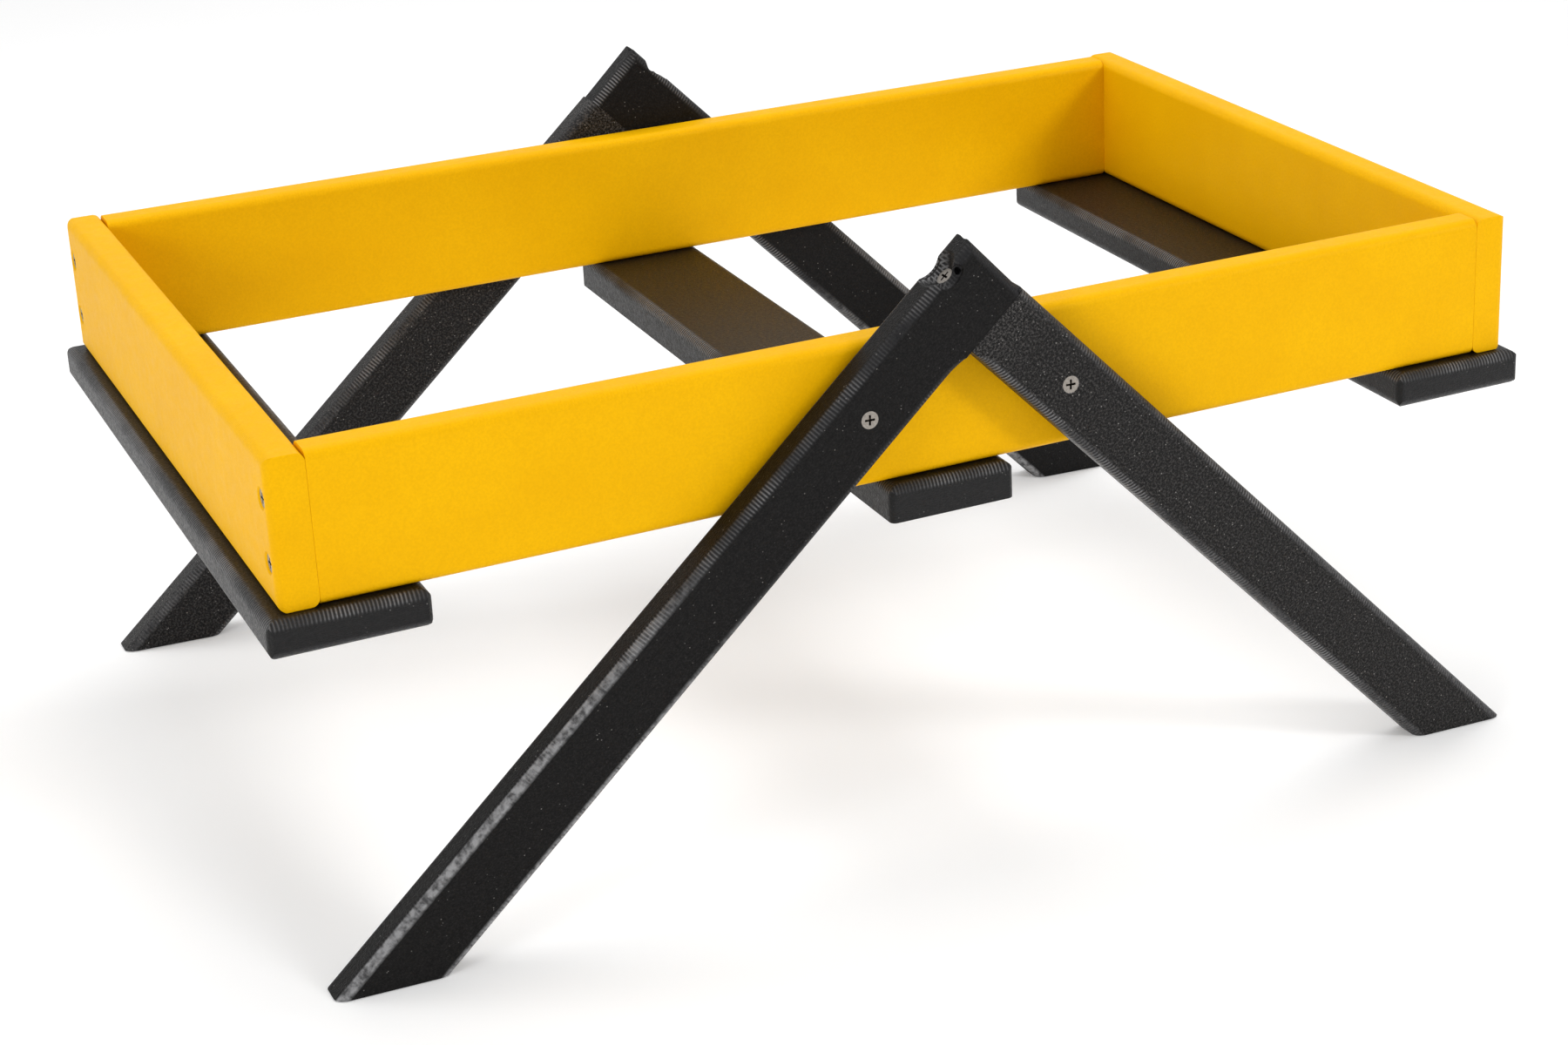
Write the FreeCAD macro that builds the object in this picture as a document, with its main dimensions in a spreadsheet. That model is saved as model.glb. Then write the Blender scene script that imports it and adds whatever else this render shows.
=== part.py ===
import FreeCAD, Part
import Sketcher
import os

# A board frame on two inverted-V leg frames.
# X runs along the long side boards, Y across them, Z up.
# The origin is on the ground, under the middle of the board frame.

SIZES = {
    # board frame
    "frame_length": 660.0,
    "frame_width": 406.0,
    "board_height": 74.0,
    "board_thickness": 19.0,
    "board_bottom": 198.0,
    "frame_tilt": 1.7,
    "roundover": 4.8,
    # cross slats under the frame
    "slat_thickness": 19.0,
    "end_slat_width": 76.0,
    "middle_slat_width": 67.0,
    "slat_side_overhang": 7.0,
    "left_slat_overhang": 8.0,
    "right_slat_overhang": 6.0,
    "slat_roundover": 5.5,
    # inverted-V leg frames
    "leg_width": 39.0,
    "leg_thickness": 19.0,
    "leg_angle": 45.8,
    "apex_height": 318.0,
    "apex_offset": 4.0,
    "leg_roundover": 4.8,
    "notch_relief": 7.0,
    # flat-head screws, all one gauge
    "shank_radius": 2.1,
    "clearance_radius": 2.2,
    "head_radius": 4.4,
    "head_cylinder": 0.4,
    "tip_length": 4.0,
    "slot_width": 1.1,
    "slot_length": 5.2,
    "slot_depth": 1.7,
    "short_screw": 32.0,
    "corner_screw": 50.0,
    "apex_screw": 64.0,
    # countersinks and screw positions
    "leg_sink_radius": 4.8,
    "corner_sink_radius": 5.6,
    "slat_sink_radius": 5.0,
    "apex_sink_radius": 10.8,
    "pilot_spare": 1.0,
    "leg_screw_drop": 94.0,
    "apex_screw_drop": 19.5,
    "corner_screw_inset": 21.5,
    "slat_screw_inset": 19.0,
    "middle_screw_inset": 17.0,
    "end_board_screw_reach": 140.0,
}

NEAR = -1
FAR = 1
LEFT = -1
RIGHT = 1
TOLERANCE = 1e-4
ORIGIN_POINT = -1
SKETCH_X_AXIS = -1
SKETCH_Y_AXIS = -2

# rotations that turn a tool's own +Z axis into the named direction
AIM = {
    "+X": (FreeCAD.Vector(0, 1, 0), 90),
    "-X": (FreeCAD.Vector(0, 1, 0), -90),
    "+Y": (FreeCAD.Vector(1, 0, 0), -90),
    "-Y": (FreeCAD.Vector(1, 0, 0), 90),
    "+Z": (FreeCAD.Vector(0, 0, 1), 0),
}

doc = FreeCAD.newDocument("board_frame_stand")
sheet = doc.addObject("Spreadsheet::Sheet", "Sizes")
for row, (alias, value) in enumerate(SIZES.items(), start=1):
    sheet.set(f"A{row}", alias)
    sheet.set(f"B{row}", str(value))
    sheet.setAlias(f"B{row}", alias)
doc.recompute()

# expressions that several pieces share
TILT = "Sizes.frame_tilt"
HALF_LENGTH = "Sizes.frame_length / 2"
HALF_WIDTH = "Sizes.frame_width / 2"
MID_THICKNESS = "Sizes.board_thickness / 2"
SIDE_BOARD_LENGTH = "(Sizes.frame_length - 2 * Sizes.board_thickness)"
SLAT_LENGTH = "(Sizes.frame_width + 2 * Sizes.slat_side_overhang)"
LEG_LENGTH = "(Sizes.apex_height / cos(Sizes.leg_angle))"
LEG_SCREW_X = "(Sizes.leg_screw_drop * sin(Sizes.leg_angle) - Sizes.leg_width / 2 * cos(Sizes.leg_angle))"
LEG_SCREW_Z = (
    "(Sizes.apex_height - Sizes.leg_screw_drop * cos(Sizes.leg_angle)"
    " - Sizes.leg_width / 2 * sin(Sizes.leg_angle))"
)

subparts = []


def new_body(label, keep=True):
    """Start a body; keep says that it is a piece of the object, not a pattern for copies."""
    body = doc.addObject("PartDesign::Body", label)
    body.Label = label
    if keep:
        subparts.append(body)
    return body


def number(expression):
    """Value of an expression of sheet cells."""
    value = sheet.evalExpression(expression)
    return float(getattr(value, "Value", value))


def plane_of(body, role):
    return [feature for feature in body.Origin.OriginFeatures if feature.Role == role][0]


def outline(body, name, role, corners):
    """Closed polygon sketch on an origin plane; each corner is a pair of expressions."""
    sketch = body.newObject("Sketcher::SketchObject", f"{body.Name}_{name}")
    sketch.AttachmentSupport = [(plane_of(body, role), "")]
    sketch.MapMode = "FlatFace"
    points = [FreeCAD.Vector(number(x), number(y), 0) for x, y in corners]
    count = len(points)
    for index in range(count):
        sketch.addGeometry(Part.LineSegment(points[index], points[(index + 1) % count]), False)
    for index in range(count):
        sketch.addConstraint(Sketcher.Constraint("Coincident", index, 2, (index + 1) % count, 1))
    for index, (x, y) in enumerate(corners):
        for kind, axis, expression in (("DistanceX", SKETCH_Y_AXIS, x), ("DistanceY", SKETCH_X_AXIS, y)):
            value = number(expression)
            if value == 0:
                sketch.addConstraint(Sketcher.Constraint("PointOnObject", index, 1, axis))
                continue
            row = sketch.addConstraint(Sketcher.Constraint(kind, ORIGIN_POINT, 1, index, 1, value))
            sketch.setExpression(f"Constraints[{row}]", expression)
    return sketch


def pad(body, sketch, length, reverse):
    feature = body.newObject("PartDesign::Pad", f"{body.Name}_pad")
    feature.Profile = sketch
    feature.setExpression("Length", length)
    feature.Reversed = reverse
    doc.recompute()
    return feature


def cut_through(body, name, role, corners):
    """Remove a prism of the given outline through the whole thickness."""
    sketch = outline(body, name, role, corners)
    feature = body.newObject("PartDesign::Pocket", f"{body.Name}_{name}_cut")
    feature.Profile = sketch
    feature.Type = "ThroughAll"
    feature.Midplane = True
    doc.recompute()
    return feature


def round_edges(body, base, radius, wanted):
    """Round the edges of base whose two ends both pass the test wanted(start, end)."""
    names = []
    for index, edge in enumerate(base.Shape.Edges, start=1):
        start, end = edge.Vertexes[0].Point, edge.Vertexes[-1].Point
        if wanted(start, end):
            names.append(f"Edge{index}")
    feature = body.newObject("PartDesign::Fillet", f"{body.Name}_roundover")
    feature.Base = (base, names)
    feature.setExpression("Radius", radius)
    doc.recompute()
    return feature


def same(first, second):
    return abs(first - second) < TOLERANCE


def put_tool(tool, at, aim):
    """Place a tool solid inside its body: at is three expressions, aim a key of AIM."""
    axis, angle = AIM[aim]
    tool.Placement = FreeCAD.Placement(FreeCAD.Vector(), FreeCAD.Rotation(axis, angle))
    for letter, expression in zip("xyz", at):
        tool.setExpression(f"Placement.Base.{letter}", expression)


def drill(body, name, at, aim, radius, depth):
    tool = body.newObject("PartDesign::SubtractiveCylinder", f"{body.Name}_{name}")
    tool.setExpression("Radius", radius)
    tool.setExpression("Height", depth)
    put_tool(tool, at, aim)


def countersink(body, name, at, aim, mouth_radius, depth):
    """A clearance hole with a 90 degree countersink at its mouth."""
    drill(body, f"{name}_bore", at, aim, "Sizes.clearance_radius", depth)
    tool = body.newObject("PartDesign::SubtractiveCone", f"{body.Name}_{name}_sink")
    tool.setExpression("Radius1", mouth_radius)
    tool.setExpression("Radius2", "Sizes.clearance_radius")
    tool.setExpression("Height", f"{mouth_radius} - Sizes.clearance_radius")
    put_tool(tool, at, aim)


def stopped_roundover(body, name, edge, into, span, aim, radius):
    """Round part of one edge that runs along aim.

    edge is the start of the rounded stretch, and into gives the two signs, in X, Y, Z order
    of the axes across the edge, that point into the board.
    """
    along = aim[1].lower()
    across = [letter for letter in "xyz" if letter != along]
    low = dict(zip("xyz", edge))
    centre = dict(zip("xyz", edge))
    for letter, sign in zip(across, into):
        if sign < 0:
            low[letter] = f"{edge['xyz'.index(letter)]} - {radius}"
        centre[letter] = f"{edge['xyz'.index(letter)]} + {sign} * {radius}"
    size = {letter: radius for letter in across}
    size[along] = span
    block = body.newObject("PartDesign::SubtractiveBox", f"{body.Name}_{name}_block")
    for side, letter in (("Length", "x"), ("Width", "y"), ("Height", "z")):
        block.setExpression(side, size[letter])
    put_tool(block, [low[letter] for letter in "xyz"], "+Z")
    rod = body.newObject("PartDesign::AdditiveCylinder", f"{body.Name}_{name}_rod")
    rod.setExpression("Radius", radius)
    rod.setExpression("Height", span)
    put_tool(rod, [centre[letter] for letter in "xyz"], aim)


def place(thing, base, axis, angle):
    """Bind a placement: base is three expressions, axis a direction, angle an expression."""
    thing.Placement = FreeCAD.Placement(FreeCAD.Vector(), FreeCAD.Rotation(axis, 1))
    for letter, expression in zip("xyz", base):
        thing.setExpression(f"Placement.Base.{letter}", expression)
    thing.setExpression("Placement.Rotation.Angle", angle)


def on_frame(x, y, above):
    """Point of the tilted board frame, from its middle and its bottom face, in the stand's frame."""
    return (
        f"({x}) * cos({TILT}) - ({above}) * sin({TILT})",
        y,
        f"Sizes.board_bottom + ({x}) * sin({TILT}) + ({above}) * cos({TILT})",
    )


ALONG_Y = FreeCAD.Vector(0, 1, 0)
ALONG_X = FreeCAD.Vector(1, 0, 0)


# ---- long side boards -------------------------------------------------------------------


def leg_screw_on_board(lean):
    """Where a leg screw enters the tilted side board, in the board's own X and Z."""
    x = f"(Sizes.apex_offset + {lean} * {LEG_SCREW_X})"
    rise = f"({LEG_SCREW_Z} - Sizes.board_bottom)"
    return (
        f"{x} * cos({TILT}) + {rise} * sin({TILT})",
        f"{rise} * cos({TILT}) - {x} * sin({TILT})",
    )


def slat_screw_rows():
    """Distances along the frame of the slat screws that enter the side boards."""
    return {
        "left": [
            f"Sizes.end_slat_width - Sizes.slat_screw_inset - {HALF_LENGTH} - Sizes.left_slat_overhang",
        ],
        "middle": ["-1 * Sizes.middle_screw_inset", "Sizes.middle_screw_inset"],
        "right": [
            f"{HALF_LENGTH} + Sizes.right_slat_overhang - Sizes.end_slat_width + Sizes.slat_screw_inset",
        ],
    }


def side_board(label, side):
    """Board on edge; its outer face is the plane Y = 0 of its own frame."""
    body = new_body(label)
    half = f"{SIDE_BOARD_LENGTH} / 2"
    face = outline(body, "face", "XZ_Plane", [
        (f"-1 * {half}", "0"), (half, "0"),
        (half, "Sizes.board_height"), (f"-1 * {half}", "Sizes.board_height"),
    ])
    board = pad(body, face, "Sizes.board_thickness", side == NEAR)
    round_edges(body, board, "Sizes.roundover",
                lambda start, end: same(start.y, end.y) and same(start.z, end.z))
    middle = f"{-side} * {MID_THICKNESS}"
    pilot = (
        "Sizes.corner_screw - Sizes.board_thickness + Sizes.pilot_spare"
        " + Sizes.corner_sink_radius - Sizes.head_radius"
    )
    for level, height in corner_screw_heights().items():
        left_end = (f"-1 * {half}", middle, height)
        right_end = (half, middle, height)
        drill(body, f"left_{level}_pilot", left_end, "+X", "Sizes.shank_radius", pilot)
        drill(body, f"right_{level}_pilot", right_end, "-X", "Sizes.shank_radius", pilot)
    depth = "Sizes.short_screw - Sizes.leg_thickness + Sizes.pilot_spare"
    inward = "+Y" if side == NEAR else "-Y"
    for name, lean in (("left", LEFT), ("right", RIGHT)):
        x, z = leg_screw_on_board(lean)
        drill(body, f"{name}_leg_pilot", (x, "0", z), inward, "Sizes.shank_radius", depth)
    rise = "Sizes.short_screw - Sizes.slat_thickness + Sizes.pilot_spare"
    for name, rows in slat_screw_rows().items():
        for index, x in enumerate(rows, start=1):
            drill(body, f"{name}_slat_pilot_{index}", (x, middle, "0"), "+Z", "Sizes.shank_radius", rise)
    place(body, on_frame("0", f"{side} * {HALF_WIDTH}", "0"), ALONG_Y, f"-1 * {TILT}")


def corner_screw_heights():
    return {"low": "Sizes.corner_screw_inset", "high": "Sizes.board_height - Sizes.corner_screw_inset"}


# ---- end boards --------------------------------------------------------------------------


def end_board(label, side):
    """Board across the frame; its outer face is the plane X = 0 of its own frame."""
    body = new_body(label)
    face = outline(body, "face", "YZ_Plane", [
        (f"-1 * {HALF_WIDTH}", "0"), (HALF_WIDTH, "0"),
        (HALF_WIDTH, "Sizes.board_height"), (f"-1 * {HALF_WIDTH}", "Sizes.board_height"),
    ])
    board = pad(body, face, "Sizes.board_thickness", side == RIGHT)

    def long_or_outer(start, end):
        on_outer_face = same(start.x, 0) and same(end.x, 0)
        along_board = same(start.x, end.x) and same(start.z, end.z)
        return on_outer_face or along_board

    round_edges(body, board, "Sizes.roundover", long_or_outer)
    inward = "-X" if side == RIGHT else "+X"
    for end_name, end in (("near", NEAR), ("far", FAR)):
        y = f"{end} * ({HALF_WIDTH} - {MID_THICKNESS})"
        for level, height in corner_screw_heights().items():
            countersink(body, f"{end_name}_{level}", ("0", y, height), inward,
                        "Sizes.corner_sink_radius", "Sizes.board_thickness")
        rise = "Sizes.short_screw - Sizes.slat_thickness + Sizes.pilot_spare"
        reach = f"{end} * Sizes.end_board_screw_reach"
        drill(body, f"{end_name}_slat_pilot", (f"{-side} * {MID_THICKNESS}", reach, "0"), "+Z",
              "Sizes.shank_radius", rise)
    place(body, on_frame(f"{side} * {HALF_LENGTH}", "0", "0"), ALONG_Y, f"-1 * {TILT}")


# ---- cross slats --------------------------------------------------------------------------


def slat(label, centre, width, screw_points, round_bottom):
    """Flat board under the frame; its top is the plane Z = 0 of its own frame."""
    body = new_body(label)
    half_width = f"{width} / 2"
    half_length = f"{SLAT_LENGTH} / 2"
    face = outline(body, "face", "XY_Plane", [
        (f"-1 * {half_width}", f"-1 * {half_length}"), (half_width, f"-1 * {half_length}"),
        (half_width, half_length), (f"-1 * {half_width}", half_length),
    ])
    board = pad(body, face, "Sizes.slat_thickness", True)
    round_edges(body, board, "Sizes.slat_roundover",
                lambda start, end: same(start.z, end.z) and (round_bottom or same(start.z, 0)))
    for index, (x, y) in enumerate(screw_points, start=1):
        countersink(body, f"screw_{index}", (f"{x} - ({centre})", y, "-1 * Sizes.slat_thickness"), "+Z",
                    "Sizes.slat_sink_radius", "Sizes.slat_thickness")
    place(body, on_frame(centre, "0", "0"), ALONG_Y, f"-1 * {TILT}")


def side_board_points(rows):
    """Slat screw positions on both side boards."""
    return [(x, f"{side} * ({HALF_WIDTH} - {MID_THICKNESS})") for x in rows for side in (NEAR, FAR)]


def end_board_points(side):
    """Slat screw positions on an end board."""
    x = f"{side} * ({HALF_LENGTH} - {MID_THICKNESS})"
    return [(x, f"{end} * Sizes.end_board_screw_reach") for end in (NEAR, FAR)]


def slat_plans():
    """Centre, width, screw positions and whether the lower edges are rounded, for each slat."""
    rows = slat_screw_rows()
    left_centre = f"Sizes.end_slat_width / 2 - {HALF_LENGTH} - Sizes.left_slat_overhang"
    right_centre = f"{HALF_LENGTH} + Sizes.right_slat_overhang - Sizes.end_slat_width / 2"
    return {
        "left": (left_centre, "Sizes.end_slat_width",
                 side_board_points(rows["left"]) + end_board_points(LEFT), True),
        "middle": ("0", "Sizes.middle_slat_width", side_board_points(rows["middle"]), False),
        "right": (right_centre, "Sizes.end_slat_width",
                  side_board_points(rows["right"]) + end_board_points(RIGHT), True),
    }


# ---- inverted-V legs ------------------------------------------------------------------------


def leg(label, side, lean, runs_to_apex):
    """Leg with its outer foot corner at the origin and its outer edge along +Z of its own frame.

    side is the side board that it stands against and lean the side its foot is on. One leg of
    each pair runs to the apex and the other butts against its inner edge.
    """
    body = new_body(label)
    inner = f"{-lean} * Sizes.leg_width"
    face = outline(body, "face", "XZ_Plane", [
        ("0", "0"), (inner, "0"), (inner, LEG_LENGTH), ("0", LEG_LENGTH),
    ])
    board = pad(body, face, "Sizes.leg_thickness", True)
    top = number(LEG_LENGTH)

    def outer_edges(start, end):
        along_outer = same(start.x, 0) and same(end.x, 0) and same(start.y, end.y)
        along_top = same(start.z, top) and same(end.z, top) and same(start.y, end.y)
        return along_outer or (runs_to_apex and along_top)

    round_edges(body, board, "Sizes.leg_roundover", outer_edges)
    crotch = f"({LEG_LENGTH} - Sizes.leg_width / tan(Sizes.leg_angle))"
    span = f"{crotch} - Sizes.notch_relief"
    stopped_roundover(body, "outside", (inner, "0", "0"), (lean, 1), span, "+Z", "Sizes.leg_roundover")
    stopped_roundover(body, "inside", (inner, "Sizes.leg_thickness", "0"), (lean, -1), span, "+Z",
                      "Sizes.leg_roundover")
    cut_through(body, "foot", "XZ_Plane", [
        ("0", "0"), (inner, "0"), (inner, "Sizes.leg_width * tan(Sizes.leg_angle)"),
    ])
    middle = f"{inner} / 2"
    half_thick = "Sizes.leg_thickness / 2"
    joint = f"{LEG_LENGTH} - Sizes.apex_screw_drop"
    if runs_to_apex:
        countersink(body, "apex_screw", ("0", half_thick, joint), "+X" if lean == LEFT else "-X",
                    "Sizes.apex_sink_radius", "Sizes.leg_width")
    else:
        outer_start = f"{LEG_LENGTH} - Sizes.leg_width / sin(2 * Sizes.leg_angle)"
        cut_through(body, "butt_end", "XZ_Plane", [
            ("0", outer_start), (inner, crotch), (inner, LEG_LENGTH), ("0", LEG_LENGTH),
        ])
        butted_leg_pilot(body, lean, half_thick)
    outer_face = "0" if side == NEAR else "Sizes.leg_thickness"
    countersink(body, "face_screw", (middle, outer_face, f"{LEG_LENGTH} - Sizes.leg_screw_drop"),
                "+Y" if side == NEAR else "-Y", "Sizes.leg_sink_radius", "Sizes.leg_thickness")
    foot = f"Sizes.apex_offset + {lean} * Sizes.apex_height * tan(Sizes.leg_angle)"
    face_y = f"-1 * {HALF_WIDTH} - Sizes.leg_thickness" if side == NEAR else HALF_WIDTH
    place(body, (foot, face_y, "0"), ALONG_Y, f"{-lean} * Sizes.leg_angle")


def butted_leg_pilot(body, lean, half_thick):
    """Pilot hole for the apex screw, along the screw's line and so a little off the leg's own axis."""
    depth = (
        "Sizes.apex_screw + Sizes.apex_sink_radius - Sizes.head_radius"
        " + Sizes.pilot_spare"
    )
    tool = body.newObject("PartDesign::SubtractiveCylinder", f"{body.Name}_apex_pilot")
    tool.setExpression("Radius", "Sizes.shank_radius")
    tool.setExpression("Height", depth)
    mouth_x = f"{lean} * Sizes.apex_screw_drop * sin(2 * Sizes.leg_angle)"
    mouth_z = f"{LEG_LENGTH} - Sizes.apex_screw_drop * cos(2 * Sizes.leg_angle)"
    tool.Placement = FreeCAD.Placement(FreeCAD.Vector(), FreeCAD.Rotation(ALONG_Y, 1))
    tool.setExpression("Placement.Base.x", f"-1 * {mouth_x}")
    tool.setExpression("Placement.Base.y", half_thick)
    tool.setExpression("Placement.Base.z", mouth_z)
    tool.setExpression("Placement.Rotation.Angle", f"180 + {lean} * (2 * Sizes.leg_angle - 90)")


# ---- screws -----------------------------------------------------------------------------------


def screw_pattern(label, length):
    """Flat-head screw with a cross recess: the head's top is at the origin, the shank runs along +Z."""
    body = new_body(label, keep=False)
    shoulder = "Sizes.head_cylinder + Sizes.head_radius - Sizes.shank_radius"
    profile = outline(body, "profile", "XZ_Plane", [
        ("0", "0"), ("Sizes.head_radius", "0"), ("Sizes.head_radius", "Sizes.head_cylinder"),
        ("Sizes.shank_radius", shoulder),
        ("Sizes.shank_radius", f"{length} - Sizes.tip_length"), ("0", length),
    ])
    turned = body.newObject("PartDesign::Revolution", f"{label}_turned")
    turned.Profile = profile
    turned.ReferenceAxis = (profile, ["V_Axis"])
    turned.Angle = 360
    doc.recompute()
    for name, wide, deep in (("slot_a", "Sizes.slot_length", "Sizes.slot_width"),
                             ("slot_b", "Sizes.slot_width", "Sizes.slot_length")):
        slot = body.newObject("PartDesign::SubtractiveBox", f"{label}_{name}")
        slot.setExpression("Length", wide)
        slot.setExpression("Width", deep)
        slot.setExpression("Height", "Sizes.slot_depth")
        put_tool(slot, (f"-1 * {wide} / 2", f"-1 * {deep} / 2", "0"), "+Z")
    doc.recompute()
    return body


def screw_set(label, pattern, seats):
    """One node of identical screws: each seat is a base point, a turning axis and an angle."""
    links = []
    for index, (base, axis, angle) in enumerate(seats, start=1):
        link = doc.addObject("App::Link", f"{label}_{index}")
        link.LinkedObject = pattern
        place(link, base, axis, angle)
        links.append(link)
    group = doc.addObject("Part::Compound", label)
    group.Label = label
    group.Links = links
    subparts.append(group)


def leg_screws(label, pattern, side):
    sunk = "(Sizes.leg_sink_radius - Sizes.head_radius - Sizes.head_cylinder)"
    seats = []
    for lean in (LEFT, RIGHT):
        base = (f"Sizes.apex_offset + {lean} * {LEG_SCREW_X}",
                f"{side} * ({HALF_WIDTH} + Sizes.leg_thickness - {sunk})", LEG_SCREW_Z)
        seats.append((base, ALONG_X, f"{side} * 90"))
    screw_set(label, pattern, seats)


def apex_screw(label, pattern, side):
    """Screw through the outer edge of the leg that runs to the apex, into the end of the other leg."""
    lean = side
    sunk = "(Sizes.apex_sink_radius - Sizes.head_radius - Sizes.head_cylinder)"
    base = (
        f"Sizes.apex_offset + {lean} * (Sizes.apex_screw_drop * sin(Sizes.leg_angle)"
        f" - {sunk} * cos(Sizes.leg_angle))",
        f"{side} * ({HALF_WIDTH} + Sizes.leg_thickness / 2)",
        f"Sizes.apex_height - Sizes.apex_screw_drop * cos(Sizes.leg_angle) - {sunk} * sin(Sizes.leg_angle)",
    )
    screw_set(label, pattern, [(base, ALONG_Y, f"{-lean} * (90 + Sizes.leg_angle)")])


def corner_screws(label, pattern, side, end):
    sunk = "(Sizes.corner_sink_radius - Sizes.head_radius - Sizes.head_cylinder)"
    seats = []
    for height in corner_screw_heights().values():
        y = f"{end} * ({HALF_WIDTH} - {MID_THICKNESS})"
        base = on_frame(f"{side} * ({HALF_LENGTH} - {sunk})", y, height)
        seats.append((base, ALONG_Y, f"{-side} * 90 - {TILT}"))
    screw_set(label, pattern, seats)


def slat_screws(label, pattern, points):
    sunk = "(Sizes.slat_sink_radius - Sizes.head_radius - Sizes.head_cylinder)"
    seats = []
    for x, y in points:
        seats.append((on_frame(x, y, f"{sunk} - Sizes.slat_thickness"), ALONG_Y, f"-1 * {TILT}"))
    screw_set(label, pattern, seats)


# ---- the whole object ---------------------------------------------------------------------------

side_board("near_side_board", NEAR)
side_board("far_side_board", FAR)
end_board("left_end_board", LEFT)
end_board("right_end_board", RIGHT)
for slat_name, (centre, width, points, round_bottom) in slat_plans().items():
    slat(f"{slat_name}_slat", centre, width, points, round_bottom)
leg("near_through_leg", NEAR, LEFT, True)
leg("near_butted_leg", NEAR, RIGHT, False)
leg("far_through_leg", FAR, RIGHT, True)
leg("far_butted_leg", FAR, LEFT, False)

short_pattern = screw_pattern("short_screw_pattern", "Sizes.short_screw")
corner_pattern = screw_pattern("corner_screw_pattern", "Sizes.corner_screw")
apex_pattern = screw_pattern("apex_screw_pattern", "Sizes.apex_screw")
for side_name, side in (("near", NEAR), ("far", FAR)):
    leg_screws(f"{side_name}_leg_screws", short_pattern, side)
    apex_screw(f"{side_name}_apex_screw", apex_pattern, side)
    for end_name, end in (("left", LEFT), ("right", RIGHT)):
        corner_screws(f"{end_name}_{side_name}_corner_screws", corner_pattern, end, side)
for slat_name, (centre, width, points, round_bottom) in slat_plans().items():
    slat_screws(f"{slat_name}_slat_screws", short_pattern, points)

doc.recompute()
for thing in doc.Objects:
    if "Invalid" in thing.State or "Error" in thing.State:
        raise RuntimeError(f"{thing.Name} failed: {thing.State}")
for piece in subparts:
    if piece.Shape.isNull() or not piece.Shape.isValid():
        raise RuntimeError(f"{piece.Label} has no valid shape")

os.makedirs("parts", exist_ok=True)
for piece in subparts:
    piece.Shape.exportStep(f"parts/{piece.Label}.step")
    print(piece.Label, len(piece.Shape.Solids), round(piece.Shape.Volume / 1000, 1), "cm3")
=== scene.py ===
import math
import random

import bmesh
import bpy
from mathutils import Matrix, Vector


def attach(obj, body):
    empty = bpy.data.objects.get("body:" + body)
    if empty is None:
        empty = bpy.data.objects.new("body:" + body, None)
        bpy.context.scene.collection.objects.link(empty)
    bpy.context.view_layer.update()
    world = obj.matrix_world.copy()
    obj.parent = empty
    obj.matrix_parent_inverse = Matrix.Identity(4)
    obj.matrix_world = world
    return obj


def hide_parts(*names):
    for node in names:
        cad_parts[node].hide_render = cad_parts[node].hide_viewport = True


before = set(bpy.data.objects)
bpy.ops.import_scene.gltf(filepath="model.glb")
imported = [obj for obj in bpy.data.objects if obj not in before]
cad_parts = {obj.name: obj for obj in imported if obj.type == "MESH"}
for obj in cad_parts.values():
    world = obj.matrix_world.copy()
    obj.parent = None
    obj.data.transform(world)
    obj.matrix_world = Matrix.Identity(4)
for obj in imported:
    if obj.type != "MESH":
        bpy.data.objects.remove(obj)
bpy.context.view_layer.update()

MM = 0.001
BODY = "root"

# sizes of the stand in millimetres, the same as the CAD sheet
FRAME_LENGTH = 660.0
FRAME_WIDTH = 406.0
BOARD_HEIGHT = 74.0
BOARD_THICKNESS = 19.0
BOARD_BOTTOM = 198.0
TILT = math.radians(1.7)
ROUNDOVER = 4.8
SLAT_THICKNESS = 19.0
END_SLAT_WIDTH = 76.0
MIDDLE_SLAT_WIDTH = 67.0
SLAT_SIDE_OVERHANG = 7.0
LEFT_SLAT_OVERHANG = 8.0
RIGHT_SLAT_OVERHANG = 6.0
SLAT_ROUNDOVER = 5.5
LEG_WIDTH = 39.0
LEG_THICKNESS = 19.0
LEG_ANGLE = math.radians(45.8)
APEX_HEIGHT = 318.0
APEX_OFFSET = 4.0
NOTCH_RELIEF = 7.0
LEG_SINK_RADIUS = 4.8
CORNER_SINK_RADIUS = 5.6
APEX_SINK_RADIUS = 10.8
CLEARANCE_RADIUS = 2.2
LEG_SCREW_DROP = 94.0
APEX_SCREW_DROP = 19.5
CORNER_SCREW_INSET = 21.5

# how finely the boards are drawn, in millimetres
ARRIS = 0.35  # rounding of an edge that looks sharp
SEAM_ARRIS = 0.2  # where a side board meets an end board
END_ARRIS = 0.6
SLAT_ARRIS = 3.5
SUPPORT = 0.4  # distance of the point that keeps a flat face flat beside an arc
ARC_STEPS = 8
STATION_STEP = 12.0
STATION_GAP = 0.02
WELD = 0.001
CUTTER_PROUD = 2.0  # how far a cutter reaches past the faces that it cuts
CUTTER_STEPS = 14
CUTTER_SIDES = 48
LUMP_WAVES = 6
SHARP_ANGLE = math.radians(28)

NEAR, FAR, LEFT, RIGHT = -1, 1, -1, 1


# ---- meshes -----------------------------------------------------------------------------
#
# Every board is a loft along its own Z, with its width along X and its thickness along Y.


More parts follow.
